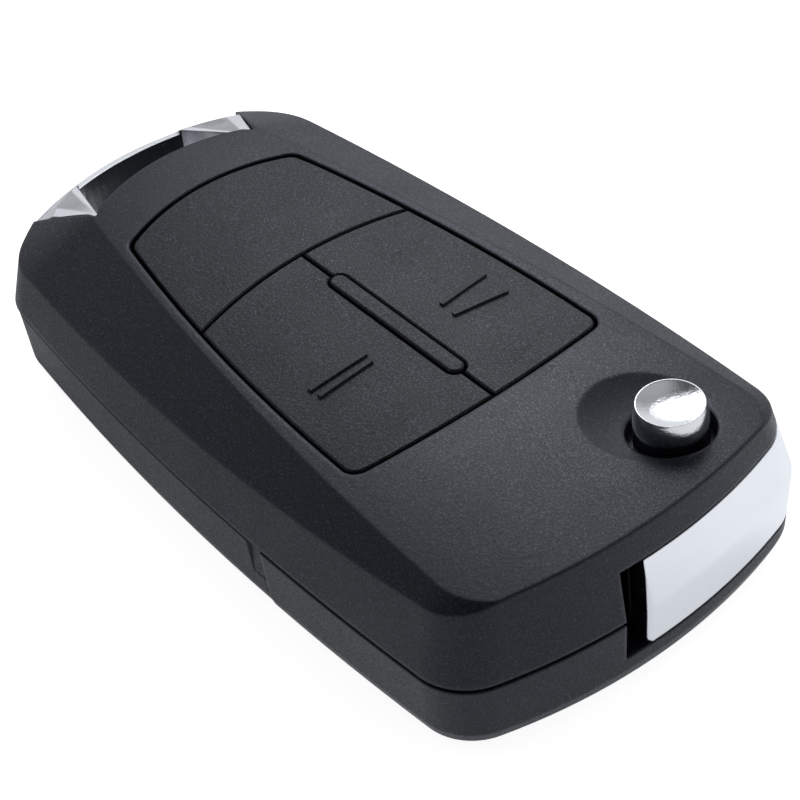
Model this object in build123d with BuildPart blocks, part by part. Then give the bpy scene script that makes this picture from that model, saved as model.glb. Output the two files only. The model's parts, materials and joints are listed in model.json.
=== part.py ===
# Folding remote key fob with two key caps, closed, lying on its back.
# Units are millimetres. +X runs along the fob to the blade head, -X to the key ring loop,
# +Y is the side where the blade is folded, and +Z points out of the keypad.
# The origin is the middle of the footprint, on the face that the fob rests on.
import os
from math import cos, radians, sin, sqrt, tan

from build123d import *

# Case outline at the parting line
length = 69.8
keyring_corner_half = 15.7
hinge_corner_half = 17.9
side_bow = 1.6
keyring_bow = 5.6
hinge_bow = 3.2
keyring_corner_radius = 5.0
hinge_corner_radius = 5.0

# Heights
crown_z = 15.2
crown_radius = 139.0
parting_z = 7.3
parting_gap = 0.36
side_draft = 13.5
end_draft = 6.0
lower_draft = 4.0
bottom_radius = 2.0
bottom_flats = 3
stock_margin = 0.6

# Shoulder facet that runs round the top face
shoulder_z = 14.6
shoulder_slope = 0.6
shoulder_keyring_half = 8.7
shoulder_hinge_half = 14.9
shoulder_bow = 1.2
shoulder_keyring_bow = 0.6
shoulder_hinge_bow = 2.1
shoulder_keyring_inset = 5.4
shoulder_hinge_inset = 2.0
shoulder_keyring_radius = 6.0
shoulder_hinge_radius = 6.5
shoulder_depth = 3.8

# Walls
wall = 1.5
floor_wall = 1.4
ceiling_z = 12.2
upper_step_z = 10.0
upper_step_inset = 2.9
lip_thickness = 0.7
lip_height = 0.8
lip_clearance = 0.1
rib_width = 1.2

# Battery cover
seam_to_pivot = 18.1
seam_gap = 0.2
seam_wall_z = 5.2
cover_trim = 0.1
pry_notch_length = 1.6
pry_notch_depth = 0.2
pry_notch_half = 18.4
pry_notch_height = 3.4

# Key ring loop and the bay that it fills
tab_inset = 7.6
tab_half = 7.6
tab_bow = 1.6
notch_inset = 9.8
notch_half = 8.2
notch_step = 0.2
horn_inset = 3.4
horn_half = 10.8
bay_clearance = 0.12
opening_bar_half = 5.6
arm_tip = 0.2
bar_width = 1.5
bar_inner_bow = 0.9
loop_high_z = 14.6
bar_top_z = 12.4
loop_bevel_z = 10.9
tongue_low_z = 6.4
tongue_high_z = 8.9
tongue_inner_step = 0.6
tongue_outer_step = 0.7
tongue_root = 1.8
crossbar_inset = 11.5
crossbar_width = 1.4
window_clearance = 0.1

# Screw that holds the loop and the tray to the upper case
screw_inset = 12.0
screw_pad_radius = 2.0
screw_boss_radius = 1.9
screw_shank_radius = 0.8
screw_head_radius = 1.7
screw_head_height = 1.1
screw_recess_depth = 0.5
screw_recess_width = 0.5
screw_chamfer = 0.25
screw_hole_clearance = 0.1
screw_end_z = 11.6
screw_tab_thickness = 0.8

# Keypad window and key caps
window_keyring_inset = 15.0
window_to_pivot = 12.7
window_keyring_half = 8.8
window_hinge_half = 12.75
window_side_bow = 0.85
window_keyring_bow = 2.0
window_hinge_bow = 1.1
window_keyring_radius = 1.6
window_hinge_radius = 1.5
least_radius = 0.3
cap_gap = 0.32
flange_width = 0.9
flange_room = 0.4
flange_low_z = 12.6
flange_high_z = 13.2
pocket_low_z = 11.9
pocket_z = 13.3
ledge_low_z = 12.75
ledge_cap_z = 13.25
split_x = -8.4
split_half = 12.0
split_bow = 3.2
split_gap = 0.22
divider_y = 0.65
divider_gap = 0.28
capsule_to_split = 12.15
capsule_length = 15.9
capsule_width = 1.45
capsule_gap = 0.22
capsule_rise = 0.14
tongue_width = 1.5
tongue_hook = 0.3
tongue_top_z = 13.6
cap_travel = 0.45
cap_edge = 0.13
cap_wall = 1.1
cap_hollow_z = 13.7
panel_hollow_z = 13.7
cap_stop_gap = 0.05
tongue_clearance = 0.2
ledge_width = 0.8
ledge_room = 0.3
cap_post_radius = 1.6
mark_rise = 0.2
mark_width = 0.42
lock_marks = (
    ((0.0, -2.8), (0.0, 2.9)),
    ((1.1, -2.7), (0.95, 2.7)),
)
unlock_marks = (
    ((-0.4, -2.6), (-1.05, 2.5)),
    ((1.2, -2.7), (1.8, 2.4)),
)

# Circuit board and switches
board_low_z = 9.9
board_thickness = 1.0
board_inset = 3.5
board_end_gap = 0.3
switch_to_split = 13.4
lock_y = -6.3
unlock_y = 7.2
switch_length = 4.6
switch_width = 3.6
switch_height = 0.8
plunger_radius = 0.9
plunger_top_z = 12.2
plunger_length = 0.75
plunger_clearance = 0.08
plunger_chamfer = 0.15
switch_corner = 0.5
switch_floor = 0.1
chip_height = 0.95
chip_chamfer = 0.15
lead_height = 0.3
lead_width = 0.35
lead_pitch = 0.9
lead_count = 4
lead_reach = 0.8
control_chip_inset = 7.5
control_chip_y = -3.0
control_chip_size = 5.0
radio_chip_inset = 6.3
radio_chip_y = 2.0
radio_chip_size = 4.0
crystal_inset = 7.8
crystal_y = -7.0
crystal_length = 6.0
crystal_width = 2.6
crystal_height = 1.3
crystal_rim = 0.3
crystal_step = 0.5
coil_inset = 3.8
coil_y = 3.0
coil_width = 3.0
coil_length = 9.0
coil_height = 1.4
coil_flange = 1.0
coil_waist = 0.4

# Tray that carries the board and closes the blade channel
tray_low_z = 6.7
tray_plate = 1.0
tray_inset = 14.3
tray_to_pivot = 15.5
tray_gap = 0.35
channel_wall = 0.8
channel_floor = 0.6
post_inset = 1.0
post_near_y = -11.0
post_far_y = 1.0
post_radius = 1.2
hold_rib_keyring_inset = 12.3
hold_rib_hinge_inset = 6.0

# Coin cell, its pocket and contacts
cell_inset = 11.3
cell_y = -4.4
cell_radius = 10.0
cell_height = 3.2
cell_low_z = 3.2
cell_cap_radius = 8.8
cell_step = 0.3
pocket_clearance = 0.15
pocket_wall = 0.85
contact_thickness = 0.3
contact_width = 4.0
contact_foot = 6.0
contact_tab = 1.6
contact_gap = 0.2
cell_edge = 0.4
pocket_rim_z = 3.2
cover_rib_gap = 0.3

# Blade head and its pivot
pivot_inset = 7.4
pivot_y = 8.0
head_low_z = 3.5
head_high_z = 12.1
head_sweep_radius = 11.9
sweep_clearance = 0.3
head_clearance = 0.2
head_near_y = -1.3
head_slot_y = -3.55
guard_radius = 15.0
cover_wall = 2.2
cover_side_reach = 5.0
head_edge = 0.35
stub_radius = 2.5
stub_height = 1.7
running_clearance = 0.05
collar_radius = 5.2
collar_height = 0.8
web_height = 1.0
barrel_radius = 4.9
head_wall = 1.2

# Release button
button_radius = 2.95
button_top_z = 17.3
button_dish = 0.4
button_dish_radius = 2.75
button_hole_radius = 3.55
button_travel = 1.8
button_edge = 0.12
button_flange_radius = 3.9
button_flange_height = 1.0
flange_top_z = 12.95
flange_stop_gap = 0.05
button_skirt_wall = 0.8
button_skirt_z = 8.8
button_roof = 1.4
dish_to_pivot = 2.1
dish_rise_y = 0.2
dish_radius = 5.3
dish_depth = 0.85

# Flip spring
spring_radius = 1.6
spring_wire = 0.25
spring_turns = 5
spring_low_z = 4.9

# Blade
blade_inner_y = 7.4
blade_width = 8.4
blade_low_z = 6.5
blade_thickness = 2.6
blade_tip_inset = 13.0
blade_root_to_pivot = 3.5
blade_shoulder_to_pivot = 12.1
blade_shoulder = 0.5
blade_tip_chamfer = 2.4
blade_tip_half = 1.6
groove_width = 2.2
groove_depth = 0.8
groove_inset = 3.2
groove_to_pivot = 15.5
groove_wave = ((5.9, 0.8), (10.9, -0.4), (16.9, 0.9))
groove_tail = 11.0
channel_clearance = 0.3
channel_end_gap = 0.4
clamp_wall = 1.0
pin_radius = 0.75
pin_bore = 0.4
pin_to_pivot = 8.3

# Places along the fob, from its two ends and from the pivot
keyring_end_x = -length / 2
hinge_end_x = length / 2
pivot_x = hinge_end_x - pivot_inset
shoulder_keyring_x = keyring_end_x + shoulder_keyring_inset
shoulder_hinge_x = hinge_end_x - shoulder_hinge_inset
tab_x = keyring_end_x + tab_inset
notch_x = keyring_end_x + notch_inset
horn_x = keyring_end_x + horn_inset
bar_inner_x = keyring_end_x + bar_width
crossbar_x = keyring_end_x + crossbar_inset
screw_x = keyring_end_x + screw_inset
window_keyring_x = keyring_end_x + window_keyring_inset
window_hinge_x = pivot_x - window_to_pivot
capsule_center_x = split_x + capsule_to_split
switch_x = split_x + switch_to_split
seam_x = pivot_x - seam_to_pivot
tray_keyring_x = keyring_end_x + tray_inset
tray_hinge_x = pivot_x - tray_to_pivot
board_keyring_x = tray_keyring_x + board_end_gap
board_hinge_x = tray_hinge_x
control_chip_x = board_hinge_x - control_chip_inset
radio_chip_x = board_keyring_x + radio_chip_inset
crystal_x = board_keyring_x + crystal_inset
coil_x = board_keyring_x + coil_inset
post_x = tray_hinge_x - post_inset
cell_x = tray_keyring_x + cell_inset
dish_x = pivot_x - dish_to_pivot
dish_y = pivot_y + dish_rise_y
blade_tip_x = keyring_end_x + blade_tip_inset
blade_root_x = pivot_x - blade_root_to_pivot
blade_shoulder_x = pivot_x - blade_shoulder_to_pivot
groove_end_x = pivot_x - groove_to_pivot
pin_x = pivot_x - pin_to_pivot

# Widths of the loop's joint with the case, from its notch
notch_outer_half = notch_half + notch_step
opening_tab_half = notch_half - arm_tip
tongue_inner_half = notch_half - tongue_inner_step
tongue_outer_half = notch_half + tongue_outer_step

# Heights and reaches that several pieces share
parting_top = parting_z + parting_gap / 2
parting_low = parting_z - parting_gap / 2
stock_top = crown_z + stock_margin
board_high_z = board_low_z + board_thickness
channel_low_z = blade_low_z - channel_clearance
channel_high_z = blade_low_z + blade_thickness + channel_clearance
channel_inner_y = blade_inner_y - channel_clearance
channel_end_x = blade_tip_x - channel_end_gap
pocket_radius = cell_radius + pocket_clearance
sweep_radius = head_sweep_radius + sweep_clearance
far = 60.0
SIDE_ALIGN = {-1: Align.MAX, 1: Align.MIN}

os.makedirs("parts", exist_ok=True)


def crown_height(y):
    return crown_z - crown_radius + sqrt(crown_radius**2 - y**2)


def bowed_outline(x_a, x_b, half_a, half_b, bow, bow_a, bow_b, radius_a, radius_b):
    # Closed outline of two bowed sides and two bowed ends with rounded corners
    middle = ((x_a + x_b) / 2, (half_a + half_b) / 2 + bow)
    with BuildSketch() as outline:
        with BuildLine():
            ThreePointArc((x_a, -half_a), (middle[0], -middle[1]), (x_b, -half_b))
            ThreePointArc((x_b, -half_b), (x_b + bow_b, 0), (x_b, half_b))
            ThreePointArc((x_b, half_b), middle, (x_a, half_a))
            ThreePointArc((x_a, half_a), (x_a - bow_a, 0), (x_a, -half_a))
        make_face()
        fillet(outline.vertices().group_by(Axis.X)[0], radius_a)
        fillet(outline.vertices().group_by(Axis.X)[-1], radius_b)
    return outline.sketch


def case_section(end_shift, side_shift, trim=0.0):
    # Case outline with its ends and sides moved in
    return bowed_outline(
        keyring_corner_x + end_shift + trim, hinge_corner_x - end_shift - trim,
        keyring_corner_half - side_shift - trim, hinge_corner_half - side_shift - trim,
        side_bow, keyring_bow, hinge_bow,
        keyring_corner_radius - trim, hinge_corner_radius - trim,
    )


def lower_body(trim):
    # Drafted lower form with its bottom edge turned in by flats
    with BuildPart() as body:
        for step in range(bottom_flats + 1):
            turn = radians(90 * step / bottom_flats)
            height = bottom_radius * (1 - cos(turn))
            shift = (parting_low - height) * tan(radians(lower_draft))
            with BuildSketch(Plane.XY.offset(height)):
                add(case_section(shift, shift, trim + bottom_radius * (1 - sin(turn))))
        with BuildSketch(Plane.XY.offset(parting_low)):
            add(case_section(0.0, 0.0, trim))
        loft(ruled=True)
    return body.part


def shoulder_section(growth):
    # Shoulder outline, grown or shrunk
    return bowed_outline(
        shoulder_keyring_x - growth, shoulder_hinge_x + growth,
        shoulder_keyring_half + growth, shoulder_hinge_half + growth,
        shoulder_bow, shoulder_keyring_bow, shoulder_hinge_bow,
        shoulder_keyring_radius + growth, shoulder_hinge_radius + growth,
    )


def window_section(growth):
    # Keypad window outline, grown or shrunk
    return bowed_outline(
        window_keyring_x - growth, window_hinge_x + growth,
        window_keyring_half + growth, window_hinge_half + growth,
        window_side_bow, window_keyring_bow, window_hinge_bow,
        max(window_keyring_radius + growth, least_radius),
        max(window_hinge_radius + growth, least_radius),
    )


def resized(shape, amount):
    # The same outline, grown or shrunk by an even offset
    with BuildSketch() as result:
        add(shape)
        offset(amount=amount, mode=Mode.REPLACE)
    return result.sketch


# Outlines that several pieces share

keyring_corner_x = keyring_bow - length / 2
hinge_corner_x = length / 2 - hinge_bow
case_outline = case_section(0.0, 0.0)
top_outline = case_section(
    (stock_top - parting_top) * tan(radians(end_draft)),
    (stock_top - parting_top) * tan(radians(side_draft)),
)
window_outline = window_section(0.0)

with BuildSketch() as bay_sketch:
    with BuildLine():
        ThreePointArc((tab_x + tab_bow, -tab_half), (tab_x, 0), (tab_x + tab_bow, tab_half))
        Polyline(
            (tab_x + tab_bow, tab_half),
            (notch_x, notch_half),
            (notch_x, notch_outer_half),
            (horn_x, horn_half),
            (-far, horn_half + 4.0),
            (-far, -horn_half - 4.0),
            (horn_x, -horn_half),
            (notch_x, -notch_outer_half),
            (notch_x, -notch_half),
            (tab_x + tab_bow, -tab_half),
        )
    make_face()
bay = bay_sketch.sketch


def shell_plan(inset):
    # Plan of the case with its key ring bay, moved in from every wall
    with BuildSketch() as plan:
        add(case_section(0.0, 0.0, inset))
        add(resized(bay, inset), mode=Mode.SUBTRACT)
    return plan.sketch


inner_plan = shell_plan(wall)

with BuildSketch() as panel_side_sketch:
    with BuildLine():
        ThreePointArc(
            (split_x + split_bow, -split_half - 4.0 + divider_y),
            (split_x, divider_y),
            (split_x + split_bow, split_half + 4.0 + divider_y),
        )
        Polyline(
            (split_x + split_bow, split_half + 4.0 + divider_y),
            (-far, split_half + 4.0 + divider_y),
            (-far, -split_half - 4.0 + divider_y),
            (split_x + split_bow, -split_half - 4.0 + divider_y),
        )
    make_face()
panel_side = panel_side_sketch.sketch

with BuildSketch() as capsule_sketch:
    with Locations((capsule_center_x, divider_y)):
        SlotOverall(capsule_length, capsule_width)
capsule = capsule_sketch.sketch

with BuildSketch() as anchor_sketch:
    for side in (-1, 1):
        with Locations((crossbar_x, side * tongue_inner_half)):
            Rectangle(far, tongue_outer_half - tongue_inner_half, align=(Align.MAX, SIDE_ALIGN[side]))
    with Locations((crossbar_x, 0)):
        Rectangle(crossbar_width, 2 * tongue_outer_half)
    with Locations((screw_x, 0)):
        Circle(screw_pad_radius)
anchor = anchor_sketch.sketch

with BuildSketch() as sweep_sketch:
    with Locations((pivot_x, pivot_y)):
        Circle(sweep_radius)
    with Locations((pivot_x, head_slot_y)):
        Rectangle(far, pivot_y - head_slot_y, align=(Align.MIN, Align.MIN))
sweep_plan = sweep_sketch.sketch

with BuildSketch() as channel_sketch:
    with Locations((channel_end_x, channel_inner_y)):
        Rectangle(pivot_x - channel_end_x, far, align=(Align.MIN, Align.MIN))
channel_plan = channel_sketch.sketch

# The domed top, without and with the shoulder facet

with BuildPart() as dome:
    with BuildSketch(Plane.YZ):
        with BuildLine():
            edge_y = length / 2
            ThreePointArc((-edge_y, crown_height(edge_y)), (0, crown_z), (edge_y, crown_height(edge_y)))
            Polyline(
                (edge_y, crown_height(edge_y)),
                (edge_y, -1.0),
                (-edge_y, -1.0),
                (-edge_y, crown_height(edge_y)),
            )
        make_face()
    extrude(amount=far, both=True)

shoulder_foot_z = shoulder_z - shoulder_depth
with BuildPart() as top_form:
    with BuildSketch(Plane.XY.offset(shoulder_foot_z)):
        add(shoulder_section(shoulder_depth / shoulder_slope))
    with BuildSketch(Plane.XY.offset(stock_top)):
        add(shoulder_section((shoulder_z - stock_top) / shoulder_slope))
    loft(ruled=True)
    with BuildSketch(Plane.XY.offset(shoulder_foot_z)):
        Rectangle(2 * far, 2 * far)
    extrude(amount=-shoulder_foot_z)
    add(dome.part, mode=Mode.INTERSECT)

# Upper case

with BuildPart() as upper_case:
    with BuildSketch(Plane.XY.offset(parting_top)):
        add(case_outline)
    with BuildSketch(Plane.XY.offset(stock_top)):
        add(top_outline)
    loft(ruled=True)
    add(top_form.part, mode=Mode.INTERSECT)
    with BuildSketch(Plane.XY.offset(parting_top)):
        add(bay)
    extrude(amount=far, mode=Mode.SUBTRACT)
    # Hollow under the top, in two steps that follow the draft
    with BuildSketch(Plane.XY.offset(parting_top)):
        add(inner_plan)
        with Locations((pivot_x, pivot_y)):
            Circle(guard_radius, mode=Mode.SUBTRACT)
    extrude(amount=upper_step_z - parting_top, mode=Mode.SUBTRACT)
    with BuildSketch(Plane.XY.offset(parting_top)):
        add(shell_plan(upper_step_inset))
        with Locations((pivot_x, pivot_y)):
            Circle(guard_radius, mode=Mode.SUBTRACT)
    extrude(amount=ceiling_z - parting_top, mode=Mode.SUBTRACT)
    # Screw boss
    with BuildSketch(Plane.XY.offset(tongue_high_z + screw_tab_thickness)):
        with Locations((screw_x, 0)):
            Circle(screw_boss_radius)
    extrude(amount=pocket_low_z - tongue_high_z)
    # Ribs that hold the circuit board down
    with BuildSketch(Plane.XY.offset(board_high_z)):
        with Locations((board_keyring_x + hold_rib_keyring_inset, 0), (board_hinge_x - hold_rib_hinge_inset, 0)):
            Rectangle(rib_width, length)
        add(shell_plan(upper_step_inset), mode=Mode.INTERSECT)
        add(window_section(flange_width + flange_room), mode=Mode.SUBTRACT)
    extrude(amount=ceiling_z - board_high_z + 0.1)
    # Keypad window and the pocket for the flanges behind it
    with BuildSketch(Plane.XY.offset(pocket_low_z)):
        add(window_section(flange_width + flange_room))
        with Locations((pivot_x, pivot_y)):
            Circle(sweep_radius + ledge_width, mode=Mode.SUBTRACT)
    extrude(amount=pocket_z - pocket_low_z, mode=Mode.SUBTRACT)
    with BuildSketch(Plane.XY.offset(pocket_low_z)):
        add(window_outline)
        with Locations((pivot_x, pivot_y)):
            Circle(sweep_radius + ledge_width, mode=Mode.SUBTRACT)
    extrude(amount=far, mode=Mode.SUBTRACT)
    with BuildSketch(Plane.XY.offset(ledge_low_z)):
        add(window_outline)
    extrude(amount=far, mode=Mode.SUBTRACT)
    # Blade head pocket and slot, pivot collar seat and release button hole
    with BuildSketch(Plane.XY.offset(parting_top)):
        add(sweep_plan)
    extrude(amount=head_high_z + head_clearance - parting_top, mode=Mode.SUBTRACT)
    with BuildSketch(Plane.XY.offset(head_high_z)):
        with Locations((pivot_x, pivot_y)):
            Circle(collar_radius + running_clearance)
    extrude(amount=collar_height + head_clearance, mode=Mode.SUBTRACT)
    with BuildSketch(Plane.XY.offset(head_high_z)):
        with Locations((pivot_x, pivot_y)):
            Circle(button_hole_radius)
    extrude(amount=far, mode=Mode.SUBTRACT)
    # Thumb dish beside the release button
    dish_sphere = (dish_radius**2 + dish_depth**2) / (2 * dish_depth)
    with Locations((dish_x, dish_y, crown_height(dish_y) - dish_depth + dish_sphere)):
        Sphere(dish_sphere, mode=Mode.SUBTRACT)
    # Blade slot along the far side
    with BuildSketch(Plane.XY.offset(parting_top)):
        add(channel_plan)
    extrude(amount=channel_high_z - parting_top, mode=Mode.SUBTRACT)
    # Seat for the inner lip of the lower shells
    with BuildSketch(Plane.XY.offset(parting_top)):
        add(shell_plan(wall - lip_thickness - lip_clearance))
        with Locations((pivot_x, pivot_y)):
            Circle(guard_radius, mode=Mode.SUBTRACT)
    extrude(amount=lip_height + lip_clearance, mode=Mode.SUBTRACT)
    # Windows for the loop's tongues and the screw's pilot hole
    with BuildSketch(Plane.XY.offset(parting_top)):
        add(resized(anchor, window_clearance))
    extrude(amount=tongue_high_z + window_clearance - parting_top, mode=Mode.SUBTRACT)
    with BuildSketch(Plane.XY.offset(tongue_high_z)):
        with Locations((screw_x, 0)):
            Circle(screw_shank_radius)
    extrude(amount=screw_end_z - tongue_high_z, mode=Mode.SUBTRACT)

upper_case.part.label = "upper_case"
export_step(upper_case.part, "parts/upper_case.step")

# Inner lip of the lower shells

with BuildSketch() as lip_sketch:
    add(shell_plan(wall - lip_thickness))
    add(inner_plan, mode=Mode.SUBTRACT)
    with Locations((pivot_x, pivot_y)):
        Circle(guard_radius + lip_clearance, mode=Mode.SUBTRACT)
lip_plan = lip_sketch.sketch

# Lower case, the half under the blade head

with BuildPart() as lower_case:
    add(lower_body(0.0))
    split(bisect_by=Plane.YZ.offset(seam_x + seam_gap / 2), keep=Keep.TOP)
    with BuildSketch(Plane.XY.offset(floor_wall)):
        add(inner_plan)
        with Locations((pivot_x, pivot_y)):
            Circle(guard_radius, mode=Mode.SUBTRACT)
    extrude(amount=far, mode=Mode.SUBTRACT)
    # Inner lip and the posts under the tray
    with BuildSketch(Plane.XY.offset(floor_wall)):
        add(lip_plan)
        with Locations((seam_x + seam_gap / 2, 0)):
            Rectangle(far, length, align=(Align.MAX, Align.CENTER), mode=Mode.SUBTRACT)
    extrude(amount=parting_top + lip_height - floor_wall)
    with BuildSketch(Plane.XY.offset(floor_wall)):
        with Locations((post_x, post_near_y), (post_x, post_far_y)):
            Circle(post_radius)
    extrude(amount=tray_low_z - floor_wall)
    # Blade head pocket, pivot bore and blade slot
    with BuildSketch(Plane.XY.offset(head_low_z - head_clearance)):
        add(sweep_plan)
    extrude(amount=far, mode=Mode.SUBTRACT)
    with BuildSketch(Plane.XY.offset(head_low_z)):
        with Locations((pivot_x, pivot_y)):
            Circle(stub_radius + running_clearance)
    extrude(amount=-stub_height - running_clearance, mode=Mode.SUBTRACT)
    with BuildSketch(Plane.XY.offset(channel_low_z)):
        add(channel_plan)
    extrude(amount=far, mode=Mode.SUBTRACT)

lower_case.part.label = "lower_case"
export_step(lower_case.part, "parts/lower_case.step")

# Battery cover, the removable half of the back

with BuildPart() as battery_cover:
    add(lower_body(cover_trim))
    split(bisect_by=Plane.YZ.offset(seam_x - seam_gap / 2), keep=Keep.BOTTOM)
    with BuildSketch(Plane.XY):
        add(bay)
    extrude(amount=far, mode=Mode.SUBTRACT)
    with BuildSketch(Plane.XY.offset(floor_wall)):
        add(inner_plan)
        with Locations((seam_x - seam_gap / 2 - wall, 0)):
            Rectangle(far, length, align=(Align.MIN, Align.CENTER), mode=Mode.SUBTRACT)
    extrude(amount=far, mode=Mode.SUBTRACT)
    with BuildSketch(Plane.XY.offset(seam_wall_z)):
        add(inner_plan)
    extrude(amount=far, mode=Mode.SUBTRACT)
    # Stiffening ribs under the coin cell
    with BuildSketch(Plane.XY.offset(floor_wall)):
        with Locations((cell_x, cell_y)):
            for angle in (0, 60, 120):
                with Locations((0, 0)):
                    Rectangle(2 * cell_radius - 4.0, rib_width, rotation=angle)
    extrude(amount=cell_low_z - cover_rib_gap - floor_wall)
    # Inner lip
    with BuildSketch(Plane.XY.offset(parting_low - lip_height)):
        add(lip_plan)
        with Locations((seam_x - seam_gap / 2 - wall, 0)):
            Rectangle(far, length, align=(Align.MIN, Align.CENTER), mode=Mode.SUBTRACT)
    extrude(amount=2 * lip_height + parting_gap)
    # Tongue windows, blade slot and pry notch
    with BuildSketch(Plane.XY.offset(tongue_low_z - window_clearance)):
        add(resized(anchor, window_clearance))
    extrude(amount=far, mode=Mode.SUBTRACT)
    with BuildSketch(Plane.XY.offset(channel_low_z)):
        add(channel_plan)
    extrude(amount=far, mode=Mode.SUBTRACT)
    with BuildSketch(Plane.XY.offset(parting_low - pry_notch_height)):
        with Locations((seam_x - seam_gap / 2, pry_notch_depth - pry_notch_half)):
            Rectangle(pry_notch_length, far, align=(Align.MAX, Align.MAX))
    extrude(amount=pry_notch_height + lip_height, mode=Mode.SUBTRACT)

battery_cover.part.label = "battery_cover"
export_step(battery_cover.part, "parts/battery_cover.step")

# Key ring loop

loop_foot_z = 2 * parting_z - loop_high_z
bar_low_z = 2 * parting_z - bar_top_z
loop_low_bevel_z = 2 * parting_z - loop_bevel_z
loop_bevel = loop_high_z - loop_bevel_z
with BuildPart() as loop_form:
    with BuildSketch(Plane.XY.offset(loop_bevel_z)):
        add(case_outline)
    with BuildSketch(Plane.XY.offset(loop_high_z)):
        add(case_section(0.0, 0.0, loop_bevel))
    loft(ruled=True)
    with BuildSketch(Plane.XY.offset(loop_low_bevel_z)):
        add(case_outline)
    with BuildSketch(Plane.XY.offset(loop_foot_z)):
        add(case_section(0.0, 0.0, loop_bevel))
    loft(ruled=True)
    with BuildSketch(Plane.XY.offset(loop_low_bevel_z)):
        add(case_outline)
    extrude(amount=loop_bevel_z - loop_low_bevel_z)
    with BuildSketch(Plane.XZ):
        with BuildLine():
            Polyline(
                (notch_x, loop_foot_z),
                (notch_x, loop_high_z),
                (bar_inner_x + bar_inner_bow, bar_top_z),
                (-far, bar_top_z),
                (-far, bar_low_z),
                (bar_inner_x + bar_inner_bow, bar_low_z),
                (notch_x, loop_foot_z),
            )
        make_face()
    extrude(amount=far, both=True, mode=Mode.INTERSECT)

with BuildPart() as keyring_loop:
    add(loop_form.part)
    with BuildSketch():
        add(resized(bay, -bay_clearance))
    extrude(amount=far, mode=Mode.INTERSECT)
    with BuildSketch():
        with BuildLine():
            ThreePointArc(
                (bar_inner_x + bar_inner_bow, opening_bar_half),
                (bar_inner_x, 0),
                (bar_inner_x + bar_inner_bow, -opening_bar_half),
            )
            Polyline(
                (bar_inner_x + bar_inner_bow, -opening_bar_half),
                (notch_x, -opening_tab_half),
                (0, -opening_tab_half),
                (0, opening_tab_half),
                (notch_x, opening_tab_half),
                (bar_inner_x + bar_inner_bow, opening_bar_half),
            )
        make_face()
    extrude(amount=far, mode=Mode.SUBTRACT)
    with BuildSketch(Plane.XY.offset(tongue_low_z)):
        add(anchor)
        with Locations((notch_x - bay_clearance - tongue_root, 0)):
            Rectangle(far, length, align=(Align.MAX, Align.CENTER), mode=Mode.SUBTRACT)
        with Locations((screw_x, 0)):
            Circle(screw_shank_radius + screw_hole_clearance, mode=Mode.SUBTRACT)
    extrude(amount=tongue_high_z - tongue_low_z)

keyring_loop.part.label = "keyring_loop"
export_step(keyring_loop.part, "parts/keyring_loop.step")

with BuildPart() as case_screw:
    with BuildSketch(Plane.XY.offset(tongue_low_z - screw_head_height)):
        with Locations((screw_x, 0)):
            Circle(screw_head_radius)
    extrude(amount=screw_head_height)
    chamfer(case_screw.faces().sort_by(Axis.Z)[0].edges(), screw_chamfer)
    with BuildSketch(Plane.XY.offset(tongue_low_z)):
        with Locations((screw_x, 0)):
            Circle(screw_shank_radius)
    extrude(amount=screw_end_z - tongue_low_z - screw_chamfer)
    with BuildSketch(Plane.XY.offset(tongue_low_z - screw_head_height)):
        with Locations((screw_x, 0)):
            Rectangle(screw_head_radius * 1.3, screw_recess_width)
            Rectangle(screw_recess_width, screw_head_radius * 1.3)
    extrude(amount=screw_recess_depth, mode=Mode.SUBTRACT)

case_screw.part.label = "case_screw"
export_step(case_screw.part, "parts/case_screw.step")

# Keypad: one fixed moulding with the blank panel, and two key caps over its tongue

cap_area = window_section(-cap_gap)
flange_area = window_section(flange_width)
raised_dome = dome.part.moved(Location((0, 0, mark_rise)))
capsule_dome = dome.part.moved(Location((0, 0, capsule_rise)))
tongue_end_x = window_hinge_x + window_hinge_bow + tongue_hook

with BuildSketch() as tongue_sketch:
    with Locations((split_x - split_gap, divider_y)):
        Rectangle(tongue_end_x - split_x + split_gap, tongue_width, align=(Align.MIN, Align.CENTER))
tongue_plan = tongue_sketch.sketch

with BuildPart() as keypad_panel:
    with BuildSketch(Plane.XY.offset(flange_low_z)):
        add(cap_area)
        add(resized(panel_side, -split_gap / 2), mode=Mode.INTERSECT)
    extrude(amount=stock_top - flange_low_z)
    add(dome.part, mode=Mode.INTERSECT)
    panel_top = keypad_panel.faces().sort_by(Axis.Z)[-1]
    chamfer(panel_top.edges(), cap_edge)
    with BuildSketch(Plane.XY.offset(flange_low_z)):
        add(flange_area)
        add(resized(panel_side, -split_gap / 2 - flange_room), mode=Mode.INTERSECT)
    extrude(amount=pocket_z - flange_low_z)
    with BuildSketch(Plane.XY.offset(flange_low_z)):
        add(window_section(-cap_gap - cap_wall))
        add(resized(panel_side, -split_gap / 2 - cap_wall), mode=Mode.INTERSECT)
        with Locations((window_keyring_x, 0)):
            Rectangle(far, rib_width, align=(Align.CENTER, Align.CENTER), mode=Mode.SUBTRACT)
    extrude(amount=panel_hollow_z - flange_low_z, mode=Mode.SUBTRACT)
    with BuildSketch(Plane.XY.offset(flange_low_z)):
        add(tongue_plan)
    extrude(amount=tongue_top_z - flange_low_z)
    with BuildSketch(Plane.XY.offset(pocket_z)):
        with Locations((window_hinge_x + window_hinge_bow - cap_gap, divider_y)):
            Rectangle(far, tongue_width, align=(Align.MIN, Align.CENTER))
    extrude(amount=far, mode=Mode.SUBTRACT)

with BuildPart() as capsule_rib:
    with BuildSketch(Plane.XY.offset(flange_low_z)):
        add(capsule)
    extrude(amount=stock_top - flange_low_z)
    add(capsule_dome, mode=Mode.INTERSECT)
    chamfer(capsule_rib.faces().sort_by(Axis.Z)[-1].edges(), cap_edge)

with BuildPart() as keypad_joined:
    add(keypad_panel.part)
    add(capsule_rib.part)

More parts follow.
